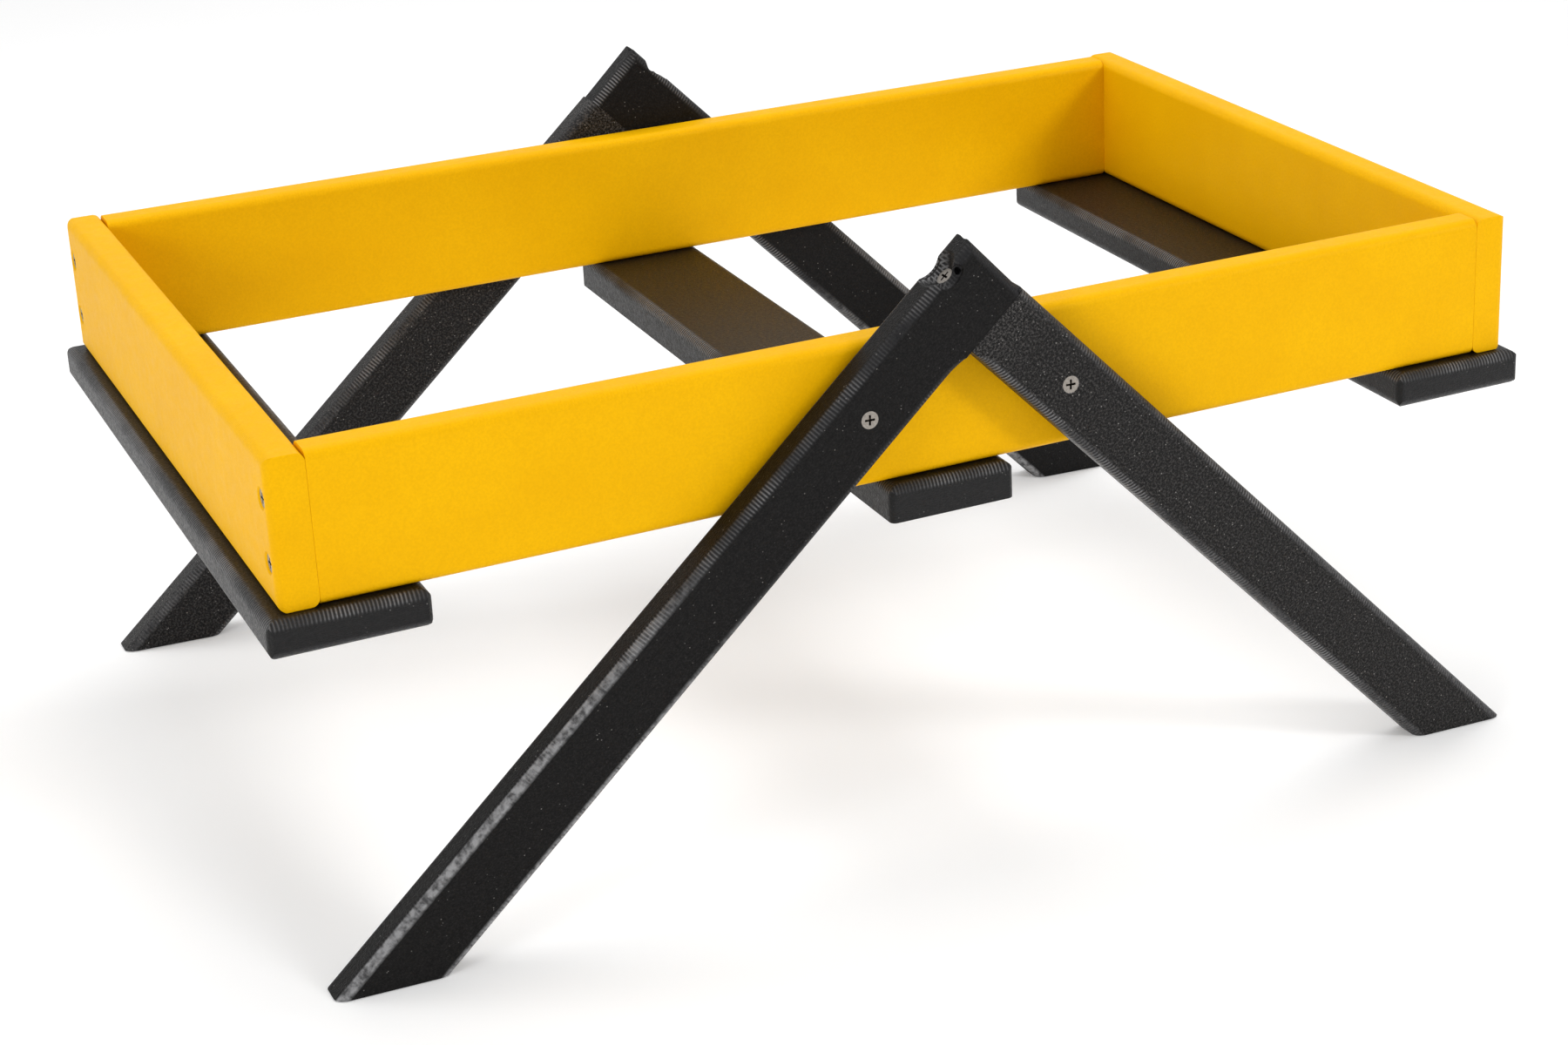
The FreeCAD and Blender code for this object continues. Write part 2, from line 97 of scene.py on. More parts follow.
def section(low, high, radii):
    """Outline of a rectangle with rounded corners and a close point on each side of every arc.

    radii are for the corners (low, low), (high, low), (high, high), (low, high).
    """
    corners = [
        (low[0], low[1], 1, 1, math.pi), (high[0], low[1], -1, 1, 1.5 * math.pi),
        (high[0], high[1], -1, -1, 0.0), (low[0], high[1], 1, -1, 0.5 * math.pi),
    ]
    points = []
    for (x, y, inward_x, inward_y, start), radius in zip(corners, radii):
        radius = max(radius, ARRIS)
        centre = Vector((x + inward_x * radius, y + inward_y * radius))
        arc = []
        for step in range(ARC_STEPS + 1):
            angle = start + 0.5 * math.pi * step / ARC_STEPS
            arc.append(centre + radius * Vector((math.cos(angle), math.sin(angle))))
        before = SUPPORT * Vector((math.sin(start), -math.cos(start)))
        after = SUPPORT * Vector((-math.cos(start), -math.sin(start)))
        points += [arc[0] + before, *arc, arc[-1] + after]
    return points


def stations(start, end, start_radius, end_radius):
    """(z, inset) from one end of a board to the other, with both ends rounded over."""
    rounded = []
    for step in range(ARC_STEPS + 1):
        angle = 0.5 * math.pi * step / ARC_STEPS
        rounded.append((1 - math.cos(angle), 1 - math.sin(angle)))
    out = [(start + start_radius * run, start_radius * drop) for run, drop in rounded]
    out.append((start + start_radius + SUPPORT, 0.0))
    first = start + start_radius + 2 * SUPPORT
    last = end - end_radius - 2 * SUPPORT
    count = max(1, round((last - first) / STATION_STEP))
    for step in range(count + 1):
        out.append((first + (last - first) * step / count, 0.0))
    out.append((end - end_radius - SUPPORT, 0.0))
    out += [(end - end_radius * run, end_radius * drop) for run, drop in reversed(rounded)]
    return out


def skin_rings(rings):
    """Closed bmesh in metres through outlines given in millimetres: a list of (z, outline)."""
    bm = bmesh.new()
    levels = []
    for z, outline in rings:
        levels.append([bm.verts.new(Vector((x, y, z)) * MM) for x, y in outline])
    count = len(levels[0])
    for lower, upper in zip(levels, levels[1:]):
        for index in range(count):
            after = (index + 1) % count
            bm.faces.new((lower[index], lower[after], upper[after], upper[index]))
    bm.faces.new(list(reversed(levels[0])))
    bm.faces.new(levels[-1])
    bmesh.ops.recalc_face_normals(bm, faces=bm.faces)
    return bm


def loft(rings):
    """The same for a board, whose outlines may have points that fall together."""
    bm = skin_rings(rings)
    bmesh.ops.remove_doubles(bm, verts=bm.verts, dist=WELD * MM)
    bmesh.ops.dissolve_degenerate(bm, edges=bm.edges, dist=WELD * MM)
    bmesh.ops.recalc_face_normals(bm, faces=bm.faces)
    return bm


def clamp_outline(outline, low, high):
    """Outline cut back to a rectangle, as where a roundover across the end meets the long ones."""
    return [
        Vector((min(max(x, low[0]), high[0]), min(max(y, low[1]), high[1])))
        for x, y in outline
    ]


def softened(distance, radius):
    """How far a small rounding of that radius draws in at a distance from the end."""
    if distance >= radius:
        return 0.0
    return radius - math.sqrt(max(0.0, radius ** 2 - (radius - distance) ** 2))


def near_ends(levels, half, radius):
    """Add stations for a small rounding of both ends."""
    for part in (0.07, 0.25, 0.55, 1.0):
        for end in (LEFT, RIGHT):
            levels.append((end * (half - radius * part), None))
    known = dict(item for item in levels if item[1] is not None)
    heights = sorted(known)
    out = []
    for z, inset in sorted(levels, key=lambda item: item[0]):
        if inset is None:
            below = max(height for height in heights if height <= z)
            above = min(height for height in heights if height >= z)
            share = 0.0 if above == below else (z - below) / (above - below)
            inset = known[below] + share * (known[above] - known[below])
        if not out or z - out[-1][0] > STATION_GAP:
            out.append((z, inset))
    return out


def saw_off(bm, point, normal):
    """Remove what lies beyond a plane and close the cut."""
    cut = bmesh.ops.bisect_plane(
        bm, geom=bm.verts[:] + bm.edges[:] + bm.faces[:],
        plane_co=point, plane_no=normal, clear_outer=True)
    edges = [item for item in cut["geom_cut"] if isinstance(item, bmesh.types.BMEdge)]
    bmesh.ops.holes_fill(bm, edges=edges, sides=0)
    bmesh.ops.recalc_face_normals(bm, faces=bm.faces)


def to_mesh(bm, name):
    mesh = bpy.data.meshes.new(name)
    bm.to_mesh(mesh)
    bm.free()
    return mesh


def countersink_tool(mouth, depth, rough, seed):
    """Cutter along +Z from the origin: a 90 degree cone, then a clearance bore.

    rough is the height of the ridges left on the cone. The cutter is turned and lowered a
    little so that none of its edges falls on an edge of the board.
    """
    turned, lowered, wobble = 0.37, 0.03, 0.12
    chance = random.Random(seed)
    profile = [(mouth + CUTTER_PROUD, -CUTTER_PROUD)]
    for step in range(CUTTER_STEPS + 1):
        drop = (mouth - CLEARANCE_RADIUS) * step / CUTTER_STEPS
        ridge = rough * (1 if step % 2 else -1) * (0 < step < CUTTER_STEPS)
        profile.append((mouth - drop + ridge, drop - lowered))
    profile.append((CLEARANCE_RADIUS, depth))
    rings = []
    for radius, z in profile:
        ring = []
        for index in range(CUTTER_SIDES):
            angle = 2 * math.pi * (index + turned) / CUTTER_SIDES
            wide = radius * (1 + rough * wobble * chance.uniform(-1, 1))
            ring.append((wide * math.cos(angle), wide * math.sin(angle)))
        rings.append((z, ring))
    return to_mesh(skin_rings(rings), "tool")


def rough_lump(size, seed, stretch):
    """Irregular small lump, for chips, nicks and burrs."""
    fineness, height = 2.4, 0.45
    chance = random.Random(seed)
    bm = bmesh.new()
    bmesh.ops.create_icosphere(bm, subdivisions=3, radius=size * MM)
    waves = [
        Vector([chance.uniform(-1, 1) for _ in range(3)]) * fineness / (size * MM)
        for _ in range(LUMP_WAVES)
    ]
    shifts = [chance.uniform(0, 6) for _ in range(LUMP_WAVES)]
    for vert in bm.verts:
        swell = sum(
            math.sin(vert.co.dot(wave) + shift) for wave, shift in zip(waves, shifts)
        ) / LUMP_WAVES
        vert.co *= 1 + height * swell
        vert.co = Vector([a * b for a, b in zip(vert.co, stretch)])
    return to_mesh(bm, "lump")


def combine(mesh, parts):
    """Apply exact booleans: parts is a list of (operation, mesh, matrix in the board's axes)."""
    if not parts:
        return mesh
    scene = bpy.context.scene
    board = bpy.data.objects.new("board_being_cut", mesh)
    scene.collection.objects.link(board)
    tools = []
    for operation, tool_mesh, matrix in parts:
        tool = bpy.data.objects.new("tool", tool_mesh)
        scene.collection.objects.link(tool)
        tool.matrix_world = matrix
        modifier = board.modifiers.new("cut", "BOOLEAN")
        modifier.operation = operation
        modifier.solver = "EXACT"
        modifier.object = tool
        tools.append(tool)
    bpy.context.view_layer.update()
    graph = bpy.context.evaluated_depsgraph_get()
    result = bpy.data.meshes.new_from_object(board.evaluated_get(graph))
    for thing in [board, *tools]:
        bpy.data.objects.remove(thing)
    return result


def place(name, mesh, matrix, material):
    """Finish a board: shading, place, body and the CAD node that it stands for.

    The mesh keeps its points and normals in the board's own axes as attributes, for its texture.
    """
    mesh.shade_smooth()
    mesh.set_sharp_from_angle(angle=SHARP_ANGLE)
    own_point = mesh.attributes.new("own_point", "FLOAT_VECTOR", "POINT")
    own_point.data.foreach_set("vector", [number for vert in mesh.vertices for number in vert.co])
    own_normal = mesh.attributes.new("own_normal", "FLOAT_VECTOR", "CORNER")
    own_normal.data.foreach_set(
        "vector", [number for corner in mesh.corner_normals for number in corner.vector])
    mesh.transform(matrix)
    mesh.materials.clear()
    mesh.materials.append(material)
    mesh.name = f"{name}_board"
    piece = bpy.data.objects.new(f"{name}_board", mesh)
    bpy.context.scene.collection.objects.link(piece)
    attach(piece, BODY)
    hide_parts(name)
    return piece


def aim(point, direction):
    """Matrix in metres that puts a tool's +Z along direction at a point given in millimetres."""
    turn = Vector(direction).to_track_quat("Z", "Y").to_matrix().to_4x4()
    return Matrix.Translation(Vector(point) * MM) @ turn


def axes(x, y, z, origin):
    """Matrix from a board's own axes to the tilted frame's; origin in millimetres."""
    turn = Matrix((x, y, z)).transposed().to_4x4()
    return Matrix.Translation(Vector(origin) * MM) @ turn


TILTED = Matrix.Translation((0, 0, BOARD_BOTTOM * MM)) @ Matrix.Rotation(-TILT, 4, "Y")


# ---- materials --------------------------------------------------------------------------

# colours are linear
YELLOW_DEEP = (0.850, 0.440, 0.0006, 1)
YELLOW_CLOUD = (0.900, 0.485, 0.0010, 1)
YELLOW_SPECK = (0.96, 0.57, 0.003, 1)
YELLOW_MOTTLE = (0.74, 0.36, 0.0005, 1)
BLACK_DEEP = (0.0018, 0.0016, 0.0016, 1)
BLACK_CLOUD = (0.0052, 0.0047, 0.0046, 1)
BLACK_ROUTED = (0.026, 0.026, 0.028, 1)
# pale flecks of the pebbled grain, partly the grain's own colour and partly painted sparkle
BLACK_PEBBLE_AND_SPARKLE = (0.125, 0.117, 0.113, 1)
BLACK_GLINT = (0.42, 0.40, 0.38, 1)
BLACK_RIDGE = (0.260, 0.256, 0.258, 1)
# painted highlight: the pale grey that lightens a leg's outer edge towards the foot
BLACK_EDGE_HIGHLIGHT = (0.300, 0.300, 0.305, 1)
STEEL_DULL = (0.17, 0.150, 0.132, 1)
STEEL_BRIGHT = (0.40, 0.37, 0.335, 1)
# painted shade in the screws' recesses
STEEL_RECESS_SHADE = (0.03, 0.022, 0.016, 1)
FLOOR_DULL = (0.88, 0.88, 0.88, 1)
FLOOR_BRIGHT = (0.90, 0.90, 0.90, 1)
WHITE = (1.0, 1.0, 1.0, 1)

# lengths in metres along a leg, from the foot
# where the pale flecks are painted brighter towards the seam, as painted sparkle
SEAM_HEIGHT = 0.418
SEAM_REACH = 0.030
# where the painted highlight on a leg's outer edge starts and where it is full
HIGHLIGHT_START, HIGHLIGHT_FULL = 0.27, 0.17

YELLOW_CHATTER_PITCH = 0.0016
BLACK_CHATTER_PITCH = 0.0019
PLASTIC_IOR = 1.5


def set_inputs(node, values):
    for socket, value in values.items():
        node.inputs[socket].default_value = value


class Nodes:
    """Short way to wire a shader tree."""

    def __init__(self, name, is_board=True):
        self.material = bpy.data.materials.new(name)
        self.material.use_nodes = True
        self.tree = self.material.node_tree
        self.shader = self.tree.nodes["Principled BSDF"]
        if is_board:
            self.point, self.normal = self.attribute("own_point"), self.attribute("own_normal")
        else:
            self.point = self.tree.nodes.new("ShaderNodeTexCoord").outputs["Object"]

    def attribute(self, name):
        node = self.tree.nodes.new("ShaderNodeAttribute")
        node.attribute_name = name
        return node.outputs["Vector"]

    def link(self, source, target):
        self.tree.links.new(source, target)

    def feed(self, socket, value):
        if hasattr(value, "is_output"):
            self.link(value, socket)
        else:
            socket.default_value = value

    def math(self, operation, first, second=0.0, clamp=False):
        node = self.tree.nodes.new("ShaderNodeMath")
        node.operation = operation
        node.use_clamp = clamp
        self.feed(node.inputs[0], first)
        self.feed(node.inputs[1], second)
        return node.outputs[0]

    def times(self, first, second, clamp=False):
        return self.math("MULTIPLY", first, second, clamp)

    def split(self, vector):
        node = self.tree.nodes.new("ShaderNodeSeparateXYZ")
        self.link(vector, node.inputs[0])
        return node.outputs

    def stretch(self, scale):
        node = self.tree.nodes.new("ShaderNodeMapping")
        node.inputs["Scale"].default_value = scale
        self.link(self.point, node.inputs["Vector"])
        return node.outputs[0]

    def noise(self, scale, detail=3.0, roughness=0.55, vector=None):
        node = self.tree.nodes.new("ShaderNodeTexNoise")
        set_inputs(node, {"Scale": scale, "Detail": detail, "Roughness": roughness})
        self.link(vector or self.point, node.inputs["Vector"])
        return node.outputs["Fac"]

    def cells(self, scale):
        node = self.tree.nodes.new("ShaderNodeTexVoronoi")
        node.inputs["Scale"].default_value = scale
        self.link(self.point, node.inputs["Vector"])
        return node.outputs["Distance"]

    def spread(self, value, low, high, out_low, out_high):
        node = self.tree.nodes.new("ShaderNodeMapRange")
        self.feed(node.inputs["Value"], value)
        set_inputs(node, {
            "From Min": low, "From Max": high, "To Min": out_low, "To Max": out_high,
        })
        return node.outputs[0]

    def blend(self, amount, first, second):
        node = self.tree.nodes.new("ShaderNodeMix")
        node.data_type = "RGBA"
        self.feed(node.inputs[0], amount)
        self.feed(node.inputs[6], first)
        self.feed(node.inputs[7], second)
        return node.outputs[2]

    def bump(self, height, depth, strength=1.0, under=None):
        node = self.tree.nodes.new("ShaderNodeBump")
        set_inputs(node, {"Strength": strength, "Distance": depth})
        self.link(height, node.inputs["Height"])
        if under is not None:
            self.link(under, node.inputs["Normal"])
        return node.outputs[0]

    def plastic(self, base, rough, skin, sheen):
        """Wire up the shader and give back the material; sheen is the specular level."""
        self.link(base, self.shader.inputs["Base Color"])
        self.link(rough, self.shader.inputs["Roughness"])
        self.link(skin, self.shader.inputs["Normal"])
        self.shader.inputs["IOR"].default_value = PLASTIC_IOR
        self.shader.inputs["Specular IOR Level"].default_value = sheen
        return self.material


def routed_masks(nodes):
    """Masks for the roundovers along a board and for those across its ends."""
    x, y, z = [nodes.math("ABSOLUTE", value) for value in nodes.split(nodes.normal)]
    along = nodes.spread(nodes.math("MINIMUM", x, y), 0.05, 0.35, 0.0, 1.0)
    across = nodes.spread(nodes.math("MINIMUM", z, y), 0.05, 0.35, 0.0, 1.0)
    return along, across


def end_mask(nodes):
    """Mask for the sawn ends of a board."""
    z = nodes.math("ABSOLUTE", nodes.split(nodes.normal)[2])
    return nodes.spread(z, 0.8, 0.95, 0.0, 1.0)


def chatter(nodes, pitch, along, across):
    """Ripple that a router leaves on the roundovers, uneven in spacing and depth: 0 to 1."""
    x, _, z = nodes.split(nodes.point)
    wander = nodes.times(nodes.noise(60.0, 2.0), 5.0)
    waves = []
    for coordinate, mask in ((z, along), (x, across)):
        phase = nodes.math("ADD", nodes.times(coordinate, 2 * math.pi / pitch), wander)
        wave = nodes.spread(nodes.math("SINE", phase), -1.0, 1.0, 0.0, 1.0)
        waves.append(nodes.times(wave, mask))
    strength = nodes.spread(nodes.noise(16.0, 2.0), 0.40, 0.60, 0.08, 1.0)
    return nodes.times(nodes.math("MAXIMUM", *waves), strength)


def yellow_plastic():
    nodes = Nodes("yellow_plastic")
    cloud = nodes.spread(nodes.noise(22.0, 4.0), 0.3, 0.7, 0.0, 1.0)
    base = nodes.blend(cloud, YELLOW_DEEP, YELLOW_CLOUD)
    speck = nodes.spread(nodes.cells(420.0), 0.0, 0.16, 1.0, 0.0)
    base = nodes.blend(nodes.times(speck, 0.25), base, YELLOW_SPECK)
    mottle = nodes.spread(nodes.noise(900.0, 2.0), 0.35, 0.65, 0.0, 0.35)
    base = nodes.blend(mottle, base, YELLOW_MOTTLE)
    rough = nodes.spread(nodes.noise(160.0, 4.0), 0.3, 0.7, 0.40, 0.54)
    streak = nodes.noise(1.0, 3.0, vector=nodes.stretch((30.0, 30.0, 700.0)))
    planed = nodes.bump(streak, 0.00010, 0.35)
    ridges = chatter(nodes, YELLOW_CHATTER_PITCH, *routed_masks(nodes))
    ripple = nodes.bump(ridges, 0.00012, 0.5, planed)
    skin = nodes.bump(nodes.noise(1500.0, 2.0), 0.00016, 0.8, ripple)
    return nodes.plastic(base, rough, skin, sheen=0.05)


def black_plastic(name, gloss, sheen, pebble_depth, fleck_and_sparkle, chatter_below, edge_highlight):
    """Black plastic of the slats and legs.

    gloss is the lowest roughness and pebble_depth how deep the pebbled grain is. The fleck
    argument sets how pale the grain's flecks are, partly the grain's own colour and partly painted
    sparkle that is brighter towards the seam, and how many painted glints there are. chatter_below
    is the share of router ripple on the side that a board's Y points away from, and the last
    argument is how strong the painted highlight is that lightens the outer edge on that side
    towards the foot.
    """
    nodes = Nodes(name)
    along, across = routed_masks(nodes)
    end = end_mask(nodes)
    facing = nodes.split(nodes.normal)[1]
    height = nodes.split(nodes.point)[2]

    lumps = nodes.spread(nodes.noise(300.0, 3.0), 0.35, 0.65, 0.0, 1.0)
    base = nodes.blend(lumps, BLACK_DEEP, BLACK_CLOUD)
    routed = nodes.math("MAXIMUM", along, across)
    worn = nodes.times(nodes.math("MAXIMUM", routed, nodes.times(end, 0.3)), 0.5)
    base = nodes.blend(worn, base, BLACK_ROUTED)

    # pale flecks, partly the pebbled grain's own colour and partly painted sparkle, painted
    # brighter towards the seam as a painted highlight
    seam_sparkle = nodes.spread(height, SEAM_HEIGHT - SEAM_REACH, SEAM_HEIGHT, 1.0, 1.0 + 2 * fleck_and_sparkle)
    fine = nodes.spread(nodes.noise(820.0, 3.0, 0.75), 0.47, 0.64, 0.0, fleck_and_sparkle)
    base = nodes.blend(nodes.times(fine, seam_sparkle, clamp=True), base, BLACK_PEBBLE_AND_SPARKLE)
    glint = nodes.spread(nodes.cells(330.0), 0.02, 0.13, 1.0, 0.0)
    rare = nodes.spread(nodes.noise(95.0, 3.0), 0.48 - 0.3 * fleck_and_sparkle, 0.62 - 0.3 * fleck_and_sparkle,
                        0.0, 0.55 + fleck_and_sparkle)
    base = nodes.blend(nodes.times(glint, rare), base, BLACK_GLINT)

    on_this_side = nodes.spread(facing, -0.05, 0.05, chatter_below, 1.0)
    ridges = nodes.times(chatter(nodes, BLACK_CHATTER_PITCH, along, across), on_this_side)
    tops = nodes.times(nodes.math("POWER", ridges, 2.0), 0.8)
    base = nodes.blend(tops, base, BLACK_RIDGE)

    # painted highlight: the outer edge on this side is painted paler towards the foot, in streaks,
    # where a lamp's reflection runs along the roundover
    outer_edge = nodes.times(along, nodes.spread(facing, -0.25, -0.45, 0.0, 1.0))
    low_down = nodes.spread(height, HIGHLIGHT_START, HIGHLIGHT_FULL, 0.0, edge_highlight)
    streaks = nodes.spread(nodes.noise(260.0, 4.0), 0.35, 0.60, 0.15, 1.0)
    painted_highlight = nodes.times(nodes.times(outer_edge, low_down), streaks)
    base = nodes.blend(painted_highlight, base, BLACK_EDGE_HIGHLIGHT)

    rough = nodes.spread(nodes.noise(520.0, 3.0), 0.35, 0.65, gloss, gloss + 0.16)
    ripples = nodes.bump(ridges, 0.00060, 1.0)
    saw = nodes.noise(1.0, 4.0, 0.65, nodes.stretch((420.0, 1500.0, 420.0)))
    ends = nodes.bump(nodes.times(saw, end), 0.00070, 1.0, ripples)
    skin = nodes.bump(nodes.noise(1050.0, 3.0, 0.6), pebble_depth, 0.9, ends)
    return nodes.plastic(base, rough, skin, sheen)


def stainless_steel():
    nodes = Nodes("stainless_steel", is_board=False)
    nodes.shader.inputs["Metallic"].default_value = 1.0
    tone = nodes.blend(nodes.noise(900.0, 3.0), STEEL_DULL, STEEL_BRIGHT)
    # painted shade: the ambient occlusion node darkens the steel where it is shut in, as in a
    # screw's cross recess
    shade = nodes.tree.nodes.new("ShaderNodeAmbientOcclusion")
    shade.inputs["Distance"].default_value = 0.0020
    open_sky = nodes.spread(shade.outputs["AO"], 0.45, 0.95, 0.0, 1.0)
    base = nodes.blend(open_sky, STEEL_RECESS_SHADE, tone)
    nodes.link(base, nodes.shader.inputs["Base Color"])
    rough = nodes.spread(nodes.noise(700.0, 3.0), 0.3, 0.7, 0.22, 0.42)
    nodes.link(rough, nodes.shader.inputs["Roughness"])
    skin = nodes.bump(nodes.noise(2600.0, 2.0), 0.00003, 0.4)
    nodes.link(skin, nodes.shader.inputs["Normal"])
    return nodes.material


YELLOW = yellow_plastic()
BLACK_SLAT = black_plastic(
    "black_slat_plastic", gloss=0.32, sheen=0.24, pebble_depth=0.00040,
    fleck_and_sparkle=0.04, chatter_below=0.0, edge_highlight=0.0)
SMOOTH_LEG = black_plastic(
    "smooth_black_leg_plastic", gloss=0.36, sheen=0.12, pebble_depth=0.00040,
    fleck_and_sparkle=0.07, chatter_below=1.0, edge_highlight=0.95)
PEBBLED_LEG = black_plastic(
    "pebbled_black_leg_plastic", gloss=0.26, sheen=0.13, pebble_depth=0.00080,
    fleck_and_sparkle=0.42, chatter_below=1.0, edge_highlight=0.10)
STEEL = stainless_steel()


# ---- boards of the frame ------------------------------------------------------------------

# how rough a countersink's cone was left, in millimetres
CORNER_SINK_ROUGH = 0.06
LEG_SINK_ROUGH = 0.05
APEX_SINK_ROUGH = 0.16
LEG_SINK_SEED = 3
APEX_SINK_SEED = 7
INNER_FACE_SOFTENING = 0.3  # share of END_ARRIS that an end board's inner face has


def side_board(name, side):
    length = FRAME_LENGTH - 2 * BOARD_THICKNESS
    half = BOARD_THICKNESS / 2
    rings = []
    for z, inset in stations(-length / 2, length / 2, SEAM_ARRIS, SEAM_ARRIS):
        low = (inset, inset - half)
        high = (BOARD_HEIGHT - inset, half - inset)
        rings.append((z, section(low, high, [ROUNDOVER - inset] * 4)))
    middle = side * (FRAME_WIDTH / 2 - half)
    matrix = TILTED @ axes((0, 0, 1), (0, 1, 0), (-1, 0, 0), (0, middle, 0))
    place(name, to_mesh(loft(rings), name), matrix, YELLOW)


def end_board(name, side, marks):
    """Thickness runs from 0 at the inner face to BOARD_THICKNESS at the outer face."""
    rings = []
    half = FRAME_WIDTH / 2
    levels = near_ends(stations(-half, half, ROUNDOVER, ROUNDOVER), half, END_ARRIS)
    for z, inset in levels:
        soft = softened(half - abs(z), END_ARRIS)
        outline = section((0.0, 0.0), (BOARD_HEIGHT, BOARD_THICKNESS), [ROUNDOVER] * 4)
        low = (soft, INNER_FACE_SOFTENING * soft)
        high = (BOARD_HEIGHT - soft, BOARD_THICKNESS - inset)
        rings.append((z, clamp_outline(outline, low, high)))
    mesh = to_mesh(loft(rings), name)
    cuts = []
    bore = BOARD_THICKNESS + CUTTER_PROUD
    for end in (NEAR, FAR):
        for height in (CORNER_SCREW_INSET, BOARD_HEIGHT - CORNER_SCREW_INSET):
            point = (height, BOARD_THICKNESS, end * (FRAME_WIDTH - BOARD_THICKNESS) / 2)
            tool = countersink_tool(CORNER_SINK_RADIUS, bore, CORNER_SINK_ROUGH, len(cuts))
            cuts.append(("DIFFERENCE", tool, aim(point, (0, -1, 0))))
    mesh = combine(mesh, cuts + marks)
    outward = (side, 0, 0)
    along = Vector((0, 0, 1)).cross(Vector(outward))
    origin = (side * (FRAME_LENGTH / 2 - BOARD_THICKNESS), 0, 0)
    matrix = TILTED @ axes((0, 0, 1), outward, along, origin)
    place(name, mesh, matrix, YELLOW)


def slat(name, centre, width, round_bottom):
    """Its top face is at the frame's own zero height."""
    half = (FRAME_WIDTH + 2 * SLAT_SIDE_OVERHANG) / 2
    lower = SLAT_ROUNDOVER if round_bottom else 0.0
    radii = [lower, lower, SLAT_ROUNDOVER, SLAT_ROUNDOVER]
    rings = []
    levels = near_ends(stations(-half, half, SLAT_ROUNDOVER, SLAT_ROUNDOVER), half, SLAT_ARRIS)
    for z, inset in levels:
        outline = section((-width / 2, -SLAT_THICKNESS), (width / 2, 0.0), radii)
        soft = softened(half - abs(z), SLAT_ARRIS)
        low = (soft - width / 2, -SLAT_THICKNESS + (inset if round_bottom else 0.0))
        rings.append((z, clamp_outline(outline, low, (width / 2 - soft, -inset))))
    matrix = TILTED @ axes((1, 0, 0), (0, 0, 1), (0, -1, 0), (centre, 0, 0))
    place(name, to_mesh(loft(rings), name), matrix, BLACK_SLAT)


# ---- legs ---------------------------------------------------------------------------------

# along a leg from the foot of its outer edge, in millimetres
LEG_LENGTH = APEX_HEIGHT / math.cos(LEG_ANGLE)
CROTCH = LEG_LENGTH - LEG_WIDTH / math.tan(LEG_ANGLE)
SPARE = 4.0  # drawn past the floor, then sawn off
RUN_OUT_LENGTH = 10.0  # over which the inner edge's roundover fades below the crotch
RUN_OUT_PAST = 3.2
RUN_OUT_STEPS = (-6.1, -4.1, -2.1, -0.1, 1.1, 2.2, RUN_OUT_PAST)


def leg_matrix(side, lean):
    """From a leg's own axes, Z up along its outer edge, to the stand's."""
    foot = APEX_OFFSET + lean * APEX_HEIGHT * math.tan(LEG_ANGLE)
    face = -FRAME_WIDTH / 2 - LEG_THICKNESS if side == NEAR else FRAME_WIDTH / 2
    turn = Matrix.Rotation(-lean * LEG_ANGLE, 4, "Y")
    return Matrix.Translation(Vector((foot, face, 0)) * MM) @ turn


def leg(name, side, lean, runs_to_apex, marks):
    """lean is the side of the apex that the foot is on."""
    inner = -lean * LEG_WIDTH
    low_x, high_x = min(0, inner), max(0, inner)
    run_out = CROTCH - NOTCH_RELIEF
    end_radius = ROUNDOVER if runs_to_apex else ARRIS
    levels = stations(-SPARE, LEG_LENGTH, ARRIS, end_radius)
    levels += [(run_out + step, 0.0) for step in RUN_OUT_STEPS]
    levels.sort()
    rings = []
    for z, inset in levels:
        fade = min(1.0, max(0.0, (run_out + RUN_OUT_PAST - z) / RUN_OUT_LENGTH))
        inner_radius = ROUNDOVER * math.sqrt(fade)
        radii = [ROUNDOVER, inner_radius, inner_radius, ROUNDOVER]
        if lean == RIGHT:
            radii = [inner_radius, ROUNDOVER, ROUNDOVER, inner_radius]
        outline = section((low_x, 0.0), (high_x, LEG_THICKNESS), radii)
        high = (high_x, LEG_THICKNESS - inset)
        rings.append((z, clamp_outline(outline, (low_x, inset), high)))
    matrix = leg_matrix(side, lean)
    to_local = matrix.inverted()
    cuts = []
    if runs_to_apex:
        point = (0, LEG_THICKNESS / 2, LEG_LENGTH - APEX_SCREW_DROP)
        bore = LEG_WIDTH + CUTTER_PROUD
        tool = countersink_tool(APEX_SINK_RADIUS, bore, APEX_SINK_ROUGH, APEX_SINK_SEED)
        cuts.append(("DIFFERENCE", tool, aim(point, (-lean, 0, 0))))
    outer_face = 0.0 if side == NEAR else LEG_THICKNESS
    point = (inner / 2, outer_face, LEG_LENGTH - LEG_SCREW_DROP)
    bore = LEG_THICKNESS + CUTTER_PROUD
    tool = countersink_tool(LEG_SINK_RADIUS, bore, LEG_SINK_ROUGH, LEG_SINK_SEED)
    cuts.append(("DIFFERENCE", tool, aim(point, (0, -side, 0))))
    mesh = combine(to_mesh(loft(rings), name), cuts + marks)
    bm = bmesh.new()
    bm.from_mesh(mesh)
    down = (to_local.to_3x3() @ Vector((0, 0, -1))).normalized()
    saw_off(bm, to_local @ Vector((0, 0, 0)), down)
    if not runs_to_apex:
        other = leg_matrix(side, -lean)
        face_point = to_local @ other @ Vector((lean * LEG_WIDTH * MM, 0, 0))
        into_other = (to_local.to_3x3() @ other.to_3x3() @ Vector((-lean, 0, 0))).normalized()
        saw_off(bm, face_point, into_other)
    material = SMOOTH_LEG if runs_to_apex else PEBBLED_LEG
    place(name, to_mesh(bm, name), matrix, material)


def lump(operation, point, size, seed, stretch):
    """A mark for combine(), at a point in millimetres in the board's own axes."""
    return (operation, rough_lump(size, seed, stretch), Matrix.Translation(Vector(point) * MM))


# ---- the stand ----------------------------------------------------------------------------

